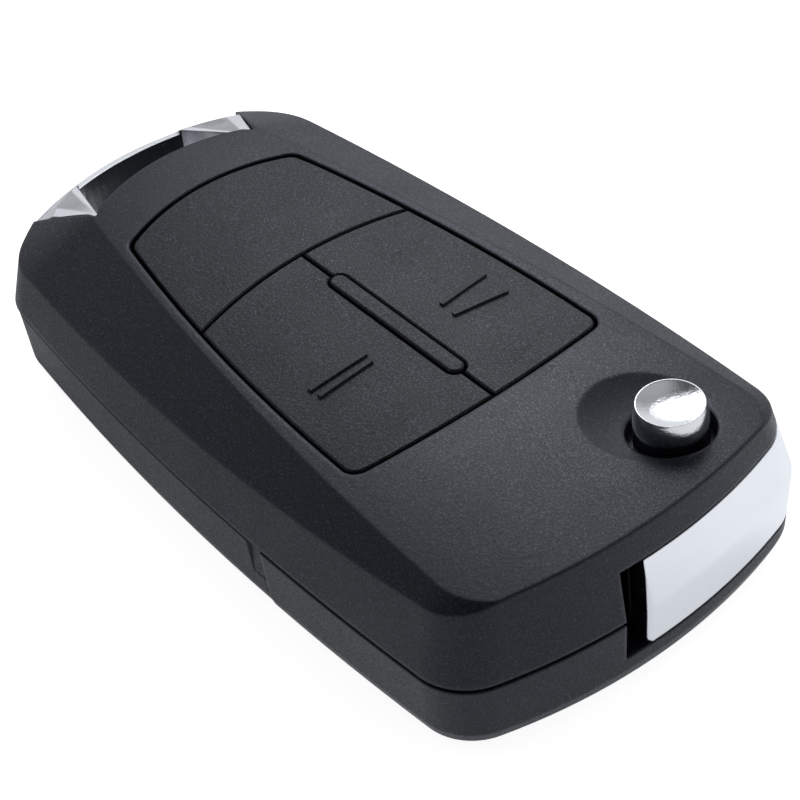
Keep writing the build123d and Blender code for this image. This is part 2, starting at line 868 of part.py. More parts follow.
keypad_joined.part.label = "keypad_panel"
export_step(keypad_joined.part, "parts/keypad_panel.step")


def cap_body(side, marks):
    # One key cap: a domed shell with a flange, a switch post and its marks
    center_y = {-1: lock_y, 1: unlock_y}[side]
    with BuildSketch() as half:
        with Locations((0, divider_y + side * divider_gap / 2)):
            Rectangle(2 * far, far, align=(Align.CENTER, SIDE_ALIGN[side]))
    with BuildPart() as cap:
        with BuildSketch(Plane.XY.offset(flange_low_z)):
            add(cap_area)
            add(half.sketch, mode=Mode.INTERSECT)
            add(resized(panel_side, split_gap / 2), mode=Mode.SUBTRACT)
            add(resized(capsule, capsule_gap), mode=Mode.SUBTRACT)
        extrude(amount=stock_top - flange_low_z)
        add(dome.part, mode=Mode.INTERSECT)
        chamfer(cap.faces().sort_by(Axis.Z)[-1].edges(), cap_edge)
        with BuildSketch(Plane.XY.offset(flange_low_z)):
            add(flange_area)
            add(half.sketch, mode=Mode.INTERSECT)
            add(resized(panel_side, split_gap / 2 + flange_room), mode=Mode.SUBTRACT)
        extrude(amount=flange_high_z - flange_low_z)
        # Hollow underside, room for the tongue and for the blade head ledge
        with BuildSketch(Plane.XY.offset(flange_low_z)):
            add(window_section(-cap_gap - cap_wall))
            add(resized(half.sketch, -cap_wall - tongue_width / 2), mode=Mode.INTERSECT)
            add(resized(panel_side, split_gap / 2 + cap_wall), mode=Mode.SUBTRACT)
            with Locations((pivot_x, pivot_y)):
                Circle(sweep_radius + ledge_width + ledge_room + cap_wall, mode=Mode.SUBTRACT)
        extrude(amount=cap_hollow_z - flange_low_z, mode=Mode.SUBTRACT)
        with BuildSketch(Plane.XY.offset(flange_low_z)):
            add(resized(tongue_plan, tongue_clearance))
        extrude(amount=tongue_top_z + cap_travel + cap_stop_gap - flange_low_z, mode=Mode.SUBTRACT)
        with BuildSketch(Plane.XY.offset(flange_low_z)):
            with Locations((pivot_x, pivot_y)):
                Circle(sweep_radius + ledge_width + ledge_room)
        extrude(amount=ledge_cap_z - flange_low_z, mode=Mode.SUBTRACT)
        with BuildSketch(Plane.XY.offset(plunger_top_z)):
            with Locations((switch_x, center_y)):
                Circle(cap_post_radius)
        extrude(amount=cap_hollow_z - plunger_top_z + cap_edge)
    with BuildPart() as ridges:
        with BuildSketch(Plane.XY.offset(cap_hollow_z)):
            for start, end in marks:
                with BuildLine():
                    Line((switch_x + start[0], center_y + start[1]), (switch_x + end[0], center_y + end[1]))
                trace(line_width=mark_width)
        extrude(amount=far)
        add(raised_dome, mode=Mode.INTERSECT)
    with BuildPart() as joined:
        add(cap.part)
        add(ridges.part)
    return joined.part


lock_button = cap_body(-1, lock_marks)
lock_button.label = "lock_button"
export_step(lock_button, "parts/lock_button.step")

unlock_button = cap_body(1, unlock_marks)
unlock_button.label = "unlock_button"
export_step(unlock_button, "parts/unlock_button.step")

# Blade head: a chrome cover over a carrier that turns about the pivot

low_shift = parting_low * tan(radians(lower_draft))
with BuildPart() as head_form:
    with BuildSketch(Plane.XY):
        add(case_section(low_shift, low_shift))
    with BuildSketch(Plane.XY.offset(parting_low)):
        add(case_outline)
    loft(ruled=True)
    with BuildSketch(Plane.XY.offset(parting_low)):
        add(case_outline)
    extrude(amount=parting_gap)
    with BuildSketch(Plane.XY.offset(parting_top)):
        add(case_outline)
    with BuildSketch(Plane.XY.offset(stock_top)):
        add(top_outline)
    loft(ruled=True)

with BuildSketch() as head_sketch:
    add(case_outline)
    with Locations((pivot_x, pivot_y)):
        Circle(head_sweep_radius, mode=Mode.INTERSECT)
    with Locations((0, head_near_y)):
        Rectangle(2 * far, far, align=(Align.CENTER, Align.MIN), mode=Mode.INTERSECT)
    with Locations((pivot_x, channel_inner_y)):
        Rectangle(far, far, align=(Align.MAX, Align.MAX), mode=Mode.SUBTRACT)
    with Locations((pivot_x, pivot_y)):
        Circle(barrel_radius)
head_plan = head_sketch.sketch

with BuildSketch() as cover_sketch:
    add(head_plan)
    add(case_section(0.0, 0.0, cover_wall), mode=Mode.SUBTRACT)
    with Locations((hinge_corner_x - cover_side_reach, 0)):
        Rectangle(far, 2 * length, align=(Align.MIN, Align.CENTER), mode=Mode.INTERSECT)
cover_plan = cover_sketch.sketch

with BuildPart() as head_cover:
    with BuildSketch(Plane.XY.offset(head_low_z)):
        add(cover_plan)
    extrude(amount=head_high_z - head_low_z)
    add(head_form.part, mode=Mode.INTERSECT)
    near_face = head_cover.faces().filter_by(Plane.XZ).sort_by(Axis.Y)[0]
    chamfer(near_face.edges().sort_by(Axis.X)[-2:], head_edge)

head_cover.part.label = "head_cover"
export_step(head_cover.part, "parts/head_cover.step")

blade_mid_y = blade_inner_y + blade_width / 2
blade_high_z = blade_low_z + blade_thickness
with BuildPart() as blade_carrier:
    # Top and bottom webs, outer wall, barrel and blade clamp
    with BuildSketch(Plane.XY.offset(head_low_z)):
        add(head_plan)
    extrude(amount=web_height)
    with BuildSketch(Plane.XY.offset(head_high_z - web_height)):
        add(head_plan)
    extrude(amount=web_height)
    with BuildSketch(Plane.XY.offset(head_low_z)):
        add(head_plan)
        add(case_section(0.0, 0.0, cover_wall + head_wall), mode=Mode.SUBTRACT)
        with Locations((pivot_x, pivot_y)):
            Circle(barrel_radius)
    extrude(amount=head_high_z - head_low_z)
    with BuildSketch(Plane.XY.offset(blade_low_z - clamp_wall)):
        with Locations((pivot_x, channel_inner_y)):
            Rectangle(far, far, align=(Align.MAX, Align.MIN))
        add(head_plan, mode=Mode.INTERSECT)
    extrude(amount=blade_thickness + 2 * clamp_wall)
    add(head_form.part, mode=Mode.INTERSECT)
    # Collar above and stub below, on the pivot axis
    with BuildSketch(Plane.XY.offset(head_high_z)):
        with Locations((pivot_x, pivot_y)):
            Circle(collar_radius)
    extrude(amount=collar_height)
    with BuildSketch(Plane.XY.offset(head_low_z)):
        with Locations((pivot_x, pivot_y)):
            Circle(stub_radius)
    extrude(amount=-stub_height)
    # Seat of the cover, button bore, blade slot and pin hole
    with BuildSketch(Plane.XY.offset(head_low_z)):
        add(cover_plan)
    extrude(amount=head_high_z - head_low_z, mode=Mode.SUBTRACT)
    with BuildSketch(Plane.XY.offset(spring_low_z)):
        with Locations((pivot_x, pivot_y)):
            Circle(button_radius + running_clearance)
    extrude(amount=far, mode=Mode.SUBTRACT)
    with BuildSketch(Plane.XY.offset(flange_top_z - button_flange_height - button_travel - flange_stop_gap)):
        with Locations((pivot_x, pivot_y)):
            Circle(button_flange_radius + running_clearance)
    extrude(amount=far, mode=Mode.SUBTRACT)
    with BuildSketch(Plane.XY.offset(blade_low_z)):
        with Locations((blade_root_x, blade_mid_y)):
            Rectangle(far, blade_width, align=(Align.MAX, Align.CENTER))
    extrude(amount=blade_thickness, mode=Mode.SUBTRACT)
    with BuildSketch(Plane.XY.offset(blade_low_z - clamp_wall)):
        with Locations((pin_x, blade_mid_y)):
            Circle(pin_radius)
    extrude(amount=blade_thickness + 2 * clamp_wall, mode=Mode.SUBTRACT)

blade_carrier.part.label = "blade_carrier"
export_step(blade_carrier.part, "parts/blade_carrier.step")

with BuildPart() as key_blade:
    with BuildSketch(Plane.XY.offset(blade_low_z)):
        with BuildLine():
            Polyline(
                (blade_root_x, blade_inner_y),
                (blade_root_x, blade_inner_y + blade_width),
                (blade_shoulder_x, blade_inner_y + blade_width),
                (blade_shoulder_x, blade_inner_y + blade_width - blade_shoulder),
                (blade_tip_x + blade_tip_chamfer, blade_inner_y + blade_width - blade_shoulder),
                (blade_tip_x, blade_mid_y + blade_tip_half),
                (blade_tip_x, blade_mid_y - blade_tip_half),
                (blade_tip_x + blade_tip_chamfer, blade_inner_y + blade_shoulder),
                (blade_shoulder_x, blade_inner_y + blade_shoulder),
                (blade_shoulder_x, blade_inner_y),
                (blade_root_x, blade_inner_y),
            )
        make_face()
    extrude(amount=blade_thickness)
    # Milled groove on both faces, waved along its outer wall
    for level, rise in ((blade_low_z, groove_depth), (blade_high_z, -groove_depth)):
        with BuildSketch(Plane.XY.offset(level)):
            with BuildLine():
                groove_y = blade_inner_y + groove_inset
                start = (blade_tip_x - 1.0, groove_y + groove_width)
                wave = Spline(
                    start,
                    *((blade_tip_x + along, groove_y + groove_width + swell) for along, swell in groove_wave),
                    (groove_end_x - groove_tail, groove_y + groove_width),
                    (groove_end_x, groove_y + groove_width),
                )
                Polyline(
                    (groove_end_x, groove_y + groove_width),
                    (groove_end_x, groove_y),
                    (blade_tip_x - 1.0, groove_y),
                    start,
                )
            make_face()
        extrude(amount=rise, mode=Mode.SUBTRACT)
    with BuildSketch(Plane.XY.offset(blade_low_z)):
        with Locations((pin_x, blade_mid_y)):
            Circle(pin_radius)
    extrude(amount=blade_thickness, mode=Mode.SUBTRACT)
    with BuildSketch(Plane.XY.offset(blade_low_z)):
        with Locations((pivot_x, pivot_y)):
            Circle(button_radius + running_clearance)
    extrude(amount=blade_thickness, mode=Mode.SUBTRACT)

key_blade.part.label = "key_blade"
export_step(key_blade.part, "parts/key_blade.step")

with BuildPart() as blade_pin:
    with BuildSketch(Plane.XY.offset(blade_low_z - clamp_wall)):
        with Locations((pin_x, blade_mid_y)):
            Circle(pin_radius)
            Circle(pin_bore, mode=Mode.SUBTRACT)
    extrude(amount=blade_thickness + 2 * clamp_wall)

blade_pin.part.label = "blade_pin"
export_step(blade_pin.part, "parts/blade_pin.step")

# Release button: a plated cap on a hollow core over the flip spring

button_inner = button_radius - button_skirt_wall
with BuildPart() as release_button:
    with BuildSketch(Plane.XY.offset(flange_top_z)):
        with Locations((pivot_x, pivot_y)):
            Circle(button_radius)
    extrude(amount=button_top_z - flange_top_z)
    chamfer(release_button.faces().sort_by(Axis.Z)[-1].edges(), button_edge)
    with BuildSketch(Plane.XY.offset(flange_top_z)):
        with Locations((pivot_x, pivot_y)):
            Circle(button_inner)
    extrude(amount=button_top_z - button_roof - flange_top_z, mode=Mode.SUBTRACT)
    dish_ball = (button_dish_radius**2 + button_dish**2) / (2 * button_dish)
    with Locations((pivot_x, pivot_y, button_top_z - button_dish + dish_ball)):
        Sphere(dish_ball, mode=Mode.SUBTRACT)

release_button.part.label = "release_button"
export_step(release_button.part, "parts/release_button.step")

with BuildPart() as button_core:
    with BuildSketch(Plane.XY.offset(button_skirt_z)):
        with Locations((pivot_x, pivot_y)):
            Circle(button_radius)
    extrude(amount=flange_top_z - button_skirt_z)
    with BuildSketch(Plane.XY.offset(flange_top_z)):
        with Locations((pivot_x, pivot_y)):
            Circle(button_flange_radius)
    extrude(amount=-button_flange_height)
    with BuildSketch(Plane.XY.offset(button_skirt_z)):
        with Locations((pivot_x, pivot_y)):
            Circle(button_inner)
    extrude(amount=far, mode=Mode.SUBTRACT)

button_core.part.label = "button_core"
export_step(button_core.part, "parts/button_core.step")

spring_height = button_top_z - button_roof - spring_low_z - 2 * spring_wire
with BuildPart() as flip_spring:
    with BuildLine() as spring_path:
        Helix(
            pitch=spring_height / spring_turns,
            height=spring_height,
            radius=spring_radius,
            center=(pivot_x, pivot_y, spring_low_z + spring_wire),
        )
    with BuildSketch(Plane(origin=spring_path.line @ 0, z_dir=spring_path.line % 0)):
        RegularPolygon(spring_wire, 4)
    sweep()

flip_spring.part.label = "flip_spring"
export_step(flip_spring.part, "parts/flip_spring.step")

# Tray: plate, blade channel, cell pocket and board ribs in one moulding

tray_top_z = board_low_z
wall_y = channel_inner_y - channel_wall
with BuildSketch() as tray_sketch:
    add(case_section(0.0, 0.0, wall + tray_gap))
    with Locations((tray_keyring_x, 0)):
        Rectangle(tray_hinge_x - tray_keyring_x, length, align=(Align.MIN, Align.CENTER), mode=Mode.INTERSECT)
tray_plan = tray_sketch.sketch

with BuildPart() as inner_tray:
    with BuildSketch(Plane.XY.offset(tray_low_z)):
        add(tray_plan)
        with Locations((0, wall_y)):
            Rectangle(2 * far, far, align=(Align.CENTER, Align.MIN), mode=Mode.SUBTRACT)
    extrude(amount=tray_plate)
    # Blade channel: floor, inner wall and roof
    with BuildSketch(Plane.XY.offset(channel_low_z - channel_floor)):
        add(tray_plan)
        with Locations((0, wall_y)):
            Rectangle(2 * far, far, align=(Align.CENTER, Align.MAX), mode=Mode.SUBTRACT)
    extrude(amount=tray_top_z - channel_low_z + channel_floor)
    with BuildSketch(Plane.XY.offset(channel_low_z)):
        with Locations((0, channel_inner_y)):
            Rectangle(2 * far, far, align=(Align.CENTER, Align.MIN))
    extrude(amount=channel_high_z - channel_low_z, mode=Mode.SUBTRACT)
    # Ribs under the circuit board
    with BuildSketch(Plane.XY.offset(tray_low_z)):
        with Locations((tray_keyring_x, 0), (tray_hinge_x - rib_width, 0)):
            Rectangle(rib_width, 2 * far, align=(Align.MIN, Align.CENTER))
        add(tray_plan, mode=Mode.INTERSECT)
        with Locations((0, wall_y)):
            Rectangle(2 * far, far, align=(Align.CENTER, Align.MIN), mode=Mode.SUBTRACT)
    extrude(amount=tray_top_z - tray_low_z)
    # Pocket that the coin cell is held in
    with BuildSketch(Plane.XY.offset(pocket_rim_z)):
        with Locations((cell_x, cell_y)):
            Circle(pocket_radius + pocket_wall)
            Circle(pocket_radius, mode=Mode.SUBTRACT)
        with Locations((cell_x, cell_y - cell_radius)):
            Rectangle(contact_width + 2 * contact_gap, 2 * pocket_wall + 1.0, mode=Mode.SUBTRACT)
    extrude(amount=tray_low_z - pocket_rim_z)
    # Screw tab
    with BuildSketch(Plane.XY.offset(tongue_high_z)):
        with Locations((screw_x, 0)):
            Circle(screw_pad_radius)
            Rectangle(
                tray_keyring_x + rib_width / 2 - screw_x, 2 * screw_pad_radius - 0.4,
                align=(Align.MIN, Align.CENTER),
            )
            Circle(screw_shank_radius + screw_hole_clearance, mode=Mode.SUBTRACT)
    extrude(amount=screw_tab_thickness)
    # Passages for the two contacts
    with BuildSketch(Plane.XY.offset(tray_low_z)):
        with Locations((cell_x, cell_y), (cell_x, cell_y - cell_radius - contact_thickness / 2)):
            Rectangle(contact_width + 2 * contact_gap, contact_thickness + 2 * contact_gap)
    extrude(amount=tray_top_z - tray_low_z, mode=Mode.SUBTRACT)

inner_tray.part.label = "inner_tray"
export_step(inner_tray.part, "parts/inner_tray.step")

# Circuit board and what is soldered to it

with BuildPart() as circuit_board:
    with BuildSketch(Plane.XY.offset(board_low_z)):
        add(case_section(0.0, 0.0, board_inset))
        with Locations((board_keyring_x, 0)):
            Rectangle(board_hinge_x - board_keyring_x, length, align=(Align.MIN, Align.CENTER), mode=Mode.INTERSECT)
    extrude(amount=board_thickness)

circuit_board.part.label = "circuit_board"
export_step(circuit_board.part, "parts/circuit_board.step")


def switch_body(y):
    # Low switch with a round well for its plunger
    with BuildPart() as switch:
        with BuildSketch(Plane.XY.offset(board_high_z)) as base:
            with Locations((switch_x, y)):
                Rectangle(switch_length, switch_width)
            chamfer(base.vertices(), switch_corner)
        extrude(amount=switch_height)
        with BuildSketch(Plane.XY.offset(board_high_z + switch_floor)):
            with Locations((switch_x, y)):
                Circle(plunger_radius + plunger_clearance)
        extrude(amount=switch_height, mode=Mode.SUBTRACT)
    return switch.part


def plunger_body(y):
    # Round plunger under a key cap's post
    with BuildPart() as plunger:
        with BuildSketch(Plane.XY.offset(plunger_top_z)):
            with Locations((switch_x, y)):
                Circle(plunger_radius)
        extrude(amount=-plunger_length)
        chamfer(plunger.faces().sort_by(Axis.Z)[0].edges(), plunger_chamfer)
    return plunger.part


def chip_body(x, y, size):
    # Flat chip under the board with a chamfered body and short leads on two sides
    with BuildPart() as chip:
        with BuildSketch(Plane.XY.offset(board_low_z - chip_height)):
            with Locations((x, y)):
                Rectangle(size, size)
        extrude(amount=chip_height - lead_height / 2)
        chamfer(chip.faces().sort_by(Axis.Z)[0].edges(), chip_chamfer)
        with BuildSketch(Plane.XY.offset(board_low_z - lead_height)):
            with Locations((x, y)):
                with GridLocations(0, lead_pitch, 1, lead_count):
                    Rectangle(size + 2 * lead_reach, lead_width)
        extrude(amount=lead_height)
    return chip.part


lock_switch = switch_body(lock_y)
lock_switch.label = "lock_switch"
export_step(lock_switch, "parts/lock_switch.step")

unlock_switch = switch_body(unlock_y)
unlock_switch.label = "unlock_switch"
export_step(unlock_switch, "parts/unlock_switch.step")

lock_plunger = plunger_body(lock_y)
lock_plunger.label = "lock_plunger"
export_step(lock_plunger, "parts/lock_plunger.step")

unlock_plunger = plunger_body(unlock_y)
unlock_plunger.label = "unlock_plunger"
export_step(unlock_plunger, "parts/unlock_plunger.step")

control_chip = chip_body(control_chip_x, control_chip_y, control_chip_size)
control_chip.label = "control_chip"
export_step(control_chip, "parts/control_chip.step")

radio_chip = chip_body(radio_chip_x, radio_chip_y, radio_chip_size)
radio_chip.label = "radio_chip"
export_step(radio_chip, "parts/radio_chip.step")

with BuildPart() as crystal:
    with BuildSketch(Plane.XY.offset(board_high_z)):
        with Locations((crystal_x, crystal_y)):
            SlotOverall(crystal_length, crystal_width, rotation=90)
    extrude(amount=crystal_rim)
    with BuildSketch(Plane.XY.offset(board_high_z + crystal_rim)):
        with Locations((crystal_x, crystal_y)):
            SlotOverall(crystal_length - crystal_step, crystal_width - crystal_step, rotation=90)
    extrude(amount=crystal_height - crystal_rim)

crystal.part.label = "crystal"
export_step(crystal.part, "parts/crystal.step")

with BuildPart() as antenna_coil:
    with BuildSketch(Plane.XY.offset(board_high_z)):
        with Locations((coil_x, coil_y)):
            Rectangle(coil_width, coil_length)
    extrude(amount=coil_height)
    with BuildSketch(Plane.XY.offset(board_high_z)):
        with Locations((coil_x, coil_y)):
            with GridLocations(coil_width, 0, 2, 1):
                Rectangle(2 * coil_waist, coil_length - 2 * coil_flange)
    extrude(amount=coil_height, mode=Mode.SUBTRACT)
    with BuildSketch(Plane.XY.offset(board_high_z + coil_height - coil_waist)):
        with Locations((coil_x, coil_y)):
            Rectangle(coil_width, coil_length - 2 * coil_flange)
    extrude(amount=coil_waist, mode=Mode.SUBTRACT)

antenna_coil.part.label = "antenna_coil"
export_step(antenna_coil.part, "parts/antenna_coil.step")

# Coin cell with its cap towards the board

with BuildPart() as coin_cell:
    with BuildSketch(Plane.XY.offset(cell_low_z)):
        with Locations((cell_x, cell_y)):
            Circle(cell_radius)
    extrude(amount=cell_height - cell_step)
    chamfer(coin_cell.faces().sort_by(Axis.Z)[0].edges(), cell_edge)
    with BuildSketch(Plane.XY.offset(cell_low_z + cell_height - cell_step)):
        with Locations((cell_x, cell_y)):
            Circle(cell_cap_radius)
    extrude(amount=cell_step)

coin_cell.part.label = "coin_cell"
export_step(coin_cell.part, "parts/coin_cell.step")

cell_high_z = cell_low_z + cell_height
with BuildPart() as negative_contact:
    with BuildSketch(Plane.XY.offset(cell_high_z)):
        with Locations((cell_x, cell_y)):
            Rectangle(contact_width, contact_foot)
    extrude(amount=contact_thickness)
    with BuildSketch(Plane.XY.offset(cell_high_z)):
        with Locations((cell_x, cell_y)):
            Rectangle(contact_width, contact_thickness)
    extrude(amount=board_low_z - cell_high_z)

negative_contact.part.label = "negative_contact"
export_step(negative_contact.part, "parts/negative_contact.step")

with BuildPart() as positive_contact:
    with BuildSketch(Plane.XY.offset(cell_low_z + cell_edge)):
        with Locations((cell_x, cell_y - cell_radius - contact_thickness / 2)):
            Rectangle(contact_width, contact_thickness)
    extrude(amount=board_low_z - cell_low_z - cell_edge)
    with BuildSketch(Plane.XY.offset(board_low_z)):
        with Locations((cell_x, cell_y - cell_radius - contact_thickness)):
            Rectangle(contact_width, contact_tab, align=(Align.CENTER, Align.MIN))
    extrude(amount=-contact_thickness)

positive_contact.part.label = "positive_contact"
export_step(positive_contact.part, "parts/positive_contact.step")
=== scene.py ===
# Folding remote key fob: finishes, detail pieces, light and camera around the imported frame.
import json
import math

import bmesh
import bpy
from mathutils import Matrix, Vector


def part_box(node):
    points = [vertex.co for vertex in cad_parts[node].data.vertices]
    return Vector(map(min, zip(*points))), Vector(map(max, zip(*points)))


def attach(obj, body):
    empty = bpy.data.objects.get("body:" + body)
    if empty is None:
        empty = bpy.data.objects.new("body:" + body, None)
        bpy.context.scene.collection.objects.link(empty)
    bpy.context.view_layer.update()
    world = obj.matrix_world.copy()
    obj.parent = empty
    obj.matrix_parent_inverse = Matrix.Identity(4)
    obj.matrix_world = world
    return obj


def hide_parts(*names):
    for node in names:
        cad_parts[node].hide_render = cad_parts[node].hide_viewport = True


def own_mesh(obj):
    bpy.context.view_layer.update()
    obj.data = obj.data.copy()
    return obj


millimetre = 0.001
white = (1.0, 1.0, 1.0)
studioTint = (0.93, 0.96, 1.0)  # the lamp and the world are slightly cool

print("stage: frame")
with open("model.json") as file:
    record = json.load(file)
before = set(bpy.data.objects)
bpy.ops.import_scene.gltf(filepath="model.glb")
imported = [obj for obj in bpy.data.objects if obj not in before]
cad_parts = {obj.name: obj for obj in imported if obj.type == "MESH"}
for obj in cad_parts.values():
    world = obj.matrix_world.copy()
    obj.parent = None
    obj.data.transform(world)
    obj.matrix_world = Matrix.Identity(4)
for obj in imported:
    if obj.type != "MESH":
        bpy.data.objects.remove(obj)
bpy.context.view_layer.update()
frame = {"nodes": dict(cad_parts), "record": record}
nodes = frame["nodes"]

print("stage: node groups")


def opaque(color):
    return tuple(color) + (1.0,)


def tinted(color, tint):
    return opaque(c * t for c, t in zip(color, tint))


def plug(tree, value, socket):
    # Links an output to the socket, or writes a plain number or colour on it
    if isinstance(value, bpy.types.NodeSocket):
        tree.links.new(value, socket)
    else:
        socket.default_value = value


def addMath(tree, operation, first, second):
    node = tree.nodes.new("ShaderNodeMath")
    node.operation = operation
    plug(tree, first, node.inputs[0])
    plug(tree, second, node.inputs[1])
    return node.outputs[0]


def addVector(tree, operation, first, second):
    node = tree.nodes.new("ShaderNodeVectorMath")
    node.operation = operation
    plug(tree, first, node.inputs[0])
    plug(tree, second, node.inputs["Scale"] if operation == "SCALE" else node.inputs[1])
    return node.outputs["Value"] if operation == "DOT_PRODUCT" else node.outputs[0]


def addRange(tree, value, low, high, outLow, outHigh):
    node = tree.nodes.new("ShaderNodeMapRange")
    plug(tree, value, node.inputs["Value"])
    for name, bound in (("From Min", low), ("From Max", high), ("To Min", outLow), ("To Max", outHigh)):
        plug(tree, bound, node.inputs[name])
    return node.outputs["Result"]


def addNoise(tree, place, scale, detail, roughness):
    node = tree.nodes.new("ShaderNodeTexNoise")
    for name, value in (("Vector", place), ("Scale", scale), ("Detail", detail), ("Roughness", roughness)):
        plug(tree, value, node.inputs[name])
    return node.outputs["Fac"]


def addBump(tree, height, distance, strength=1.0, normal=None):
    node = tree.nodes.new("ShaderNodeBump")
    plug(tree, height, node.inputs["Height"])
    plug(tree, distance, node.inputs["Distance"])
    plug(tree, strength, node.inputs["Strength"])
    if normal is not None:
        plug(tree, normal, node.inputs["Normal"])
    return node.outputs["Normal"]


def mixColor(tree, factor, first, second):
    node = tree.nodes.new("ShaderNodeMix")
    node.data_type = "RGBA"
    plug(tree, factor, node.inputs["Factor"])
    for name, value in (("A", first), ("B", second)):
        plug(tree, value, [s for s in node.inputs if s.name == name and s.type == "RGBA"][0])
    return [s for s in node.outputs if s.type == "RGBA"][0]


def objectPlace(tree):
    return tree.nodes.new("ShaderNodeTexCoord").outputs["Object"]


def newGroup(name, amounts):
    # Takes a colour and some amounts, and puts out what a shader needs of a surface
    tree = bpy.data.node_groups.new(name, "ShaderNodeTree")
    tree.interface.new_socket("Color", in_out="INPUT", socket_type="NodeSocketColor")
    for amount in amounts:
        tree.interface.new_socket(amount, in_out="INPUT", socket_type="NodeSocketFloat")
    for result, kind in (("Color", "Color"), ("Roughness", "Float"), ("Normal", "Vector")):
        tree.interface.new_socket(result, in_out="OUTPUT", socket_type="NodeSocket" + kind)
    return tree, tree.nodes.new("NodeGroupInput").outputs, tree.nodes.new("NodeGroupOutput").inputs


# From here on a noise reads scale, detail, roughness. A range reads the low and the high end of what comes in,
# then what these two turn into.
edgeLook = {
    "samples": 6,
    "rubbed_and_highlit": (0.99, 0.9, 0.0, 1.0),  # the cosine by which the edge turns the normal, to a mask
}


def softEdge(tree, radius):
    # Normal that rounds sharp edges
    bevel = tree.nodes.new("ShaderNodeBevel")
    bevel.samples = edgeLook["samples"]
    plug(tree, radius, bevel.inputs["Radius"])
    return bevel.outputs["Normal"]


def rubbedAndHighlitEdge(tree, soft):
    # Mask of the edges that softEdge rounds
    flat = tree.nodes.new("ShaderNodeNewGeometry")
    return addRange(tree, addVector(tree, "DOT_PRODUCT", soft, flat.outputs["Normal"]), *edgeLook["rubbed_and_highlit"])


grainPattern = {
    "fine": (3.0, 0.6),  # its scale is the material's own
    "broad": (140.0, 4.0, 0.6),
    "cell_scale": 0.45,
    "fine_height": 0.6,
    "cell_height": 0.5,
    "bump_distance": 0.00004,
    "spark": (0.35, 0.65, -0.7, 0.7),
    # glint: bright specks painted into the colour, painted glints of the grain
    "glint": (0.56, 0.70, 0.0, 7.0),
    "mottle": (0.38, 0.62, 0.07, -0.13),
    "broad_light": (0.3, 0.7, 0.94, 1.06),
    "broad_rough": (0.3, 0.7, -0.03, 0.03),
    # edges lighter in colour: partly wear, partly a painted highlight
    "edge_wear_and_highlight": 0.35,
    "rubbed_gloss": 0.12,
}


def grainGroup():
    # Spark eroded grain of a moulded plastic: pits, a fine sparkle with painted glints, slow changes of gloss and
    # rubbed edges, whose colour is lightened partly as wear and partly as a painted highlight
    tree, given, result = newGroup("moulded_grain", ("Size", "Bump", "Roughness", "SpeckleAndGlint", "Edge"))
    place = objectPlace(tree)
    fine = addNoise(tree, place, given["Size"], *grainPattern["fine"])
    broad = addNoise(tree, place, *grainPattern["broad"])
    cells = tree.nodes.new("ShaderNodeTexVoronoi")
    plug(tree, place, cells.inputs["Vector"])
    plug(tree, addMath(tree, "MULTIPLY", given["Size"], grainPattern["cell_scale"]), cells.inputs["Scale"])
    height = addMath(tree, "ADD", addMath(tree, "MULTIPLY", fine, grainPattern["fine_height"]),
                     addMath(tree, "MULTIPLY", cells.outputs["Distance"], grainPattern["cell_height"]))
    soft = softEdge(tree, given["Edge"])
    rubbed_and_highlit = rubbedAndHighlitEdge(tree, soft)
    normal = addBump(tree, height, grainPattern["bump_distance"], given["Bump"], soft)
    spark, glint, mottle = (
        addMath(tree, "MULTIPLY", addRange(tree, fine, *grainPattern[name]), given["SpeckleAndGlint"])
        for name in ("spark", "glint", "mottle"))
    light = addMath(tree, "ADD", addRange(tree, broad, *grainPattern["broad_light"]),
                    addMath(tree, "ADD", spark, glint))
    # Rubbed edges are lightened in colour: partly wear, partly a painted highlight
    light = addMath(tree, "ADD", light, addMath(tree, "MULTIPLY", rubbed_and_highlit, grainPattern["edge_wear_and_highlight"]))
    rough = addMath(tree, "ADD", given["Roughness"], addRange(tree, broad, *grainPattern["broad_rough"]))
    rough = addMath(tree, "ADD", rough, mottle)
    rough = addMath(tree, "SUBTRACT", rough, addMath(tree, "MULTIPLY", rubbed_and_highlit, grainPattern["rubbed_gloss"]))
    plug(tree, addVector(tree, "SCALE", given["Color"], light), result["Color"])
    plug(tree, rough, result["Roughness"])
    plug(tree, normal, result["Normal"])
    return tree


polishPattern = {
    "wipe_stretch": (1.0, 0.35, 1.0),
    "wipe": (420.0, 5.0, 0.62),
    "dust": (5200.0, 2.0, 0.5),
    "casting": (90.0, 2.0, 0.5),
    "grit": (4200.0, 3.0, 0.7),
    "ripple_distance": 0.0002,
    "grit_distance": 0.00003,
    "veil": (0.35, 0.7, 0.0, 1.0),
    "specks": (0.70, 0.78, 0.0, 0.2),
    "veil_share": 0.8,
    "veil_color": (0.55, 0.54, 0.53),
}


def polishGroup():
    # Plated metal: faint ripple of the casting below, wiping marks, dust and fine grit
    tree, given, result = newGroup("plated_polish", ("Roughness", "Smudge", "Ripple", "Grit", "Edge"))
    place = objectPlace(tree)
    stretched = tree.nodes.new("ShaderNodeMapping")
    stretched.inputs["Scale"].default_value = polishPattern["wipe_stretch"]
    plug(tree, place, stretched.inputs["Vector"])
    wipe = addNoise(tree, stretched.outputs["Vector"], *polishPattern["wipe"])
    dust, casting, grit = (addNoise(tree, place, *polishPattern[name]) for name in ("dust", "casting", "grit"))
    soft = softEdge(tree, given["Edge"])
    rippled = addBump(tree, casting, polishPattern["ripple_distance"], given["Ripple"], soft)
    gritty = addBump(tree, grit, polishPattern["grit_distance"], given["Grit"], rippled)
    veil = addMath(tree, "MULTIPLY", addRange(tree, wipe, *polishPattern["veil"]), given["Smudge"])
    rough = addMath(tree, "ADD", addMath(tree, "ADD", given["Roughness"], veil),
                    addRange(tree, dust, *polishPattern["specks"]))
    dull = mixColor(tree, addMath(tree, "MULTIPLY", veil, polishPattern["veil_share"]),
                    given["Color"], opaque(polishPattern["veil_color"]))
    plug(tree, dull, result["Color"])
    plug(tree, rough, result["Roughness"])
    plug(tree, gritty, result["Normal"])
    return tree


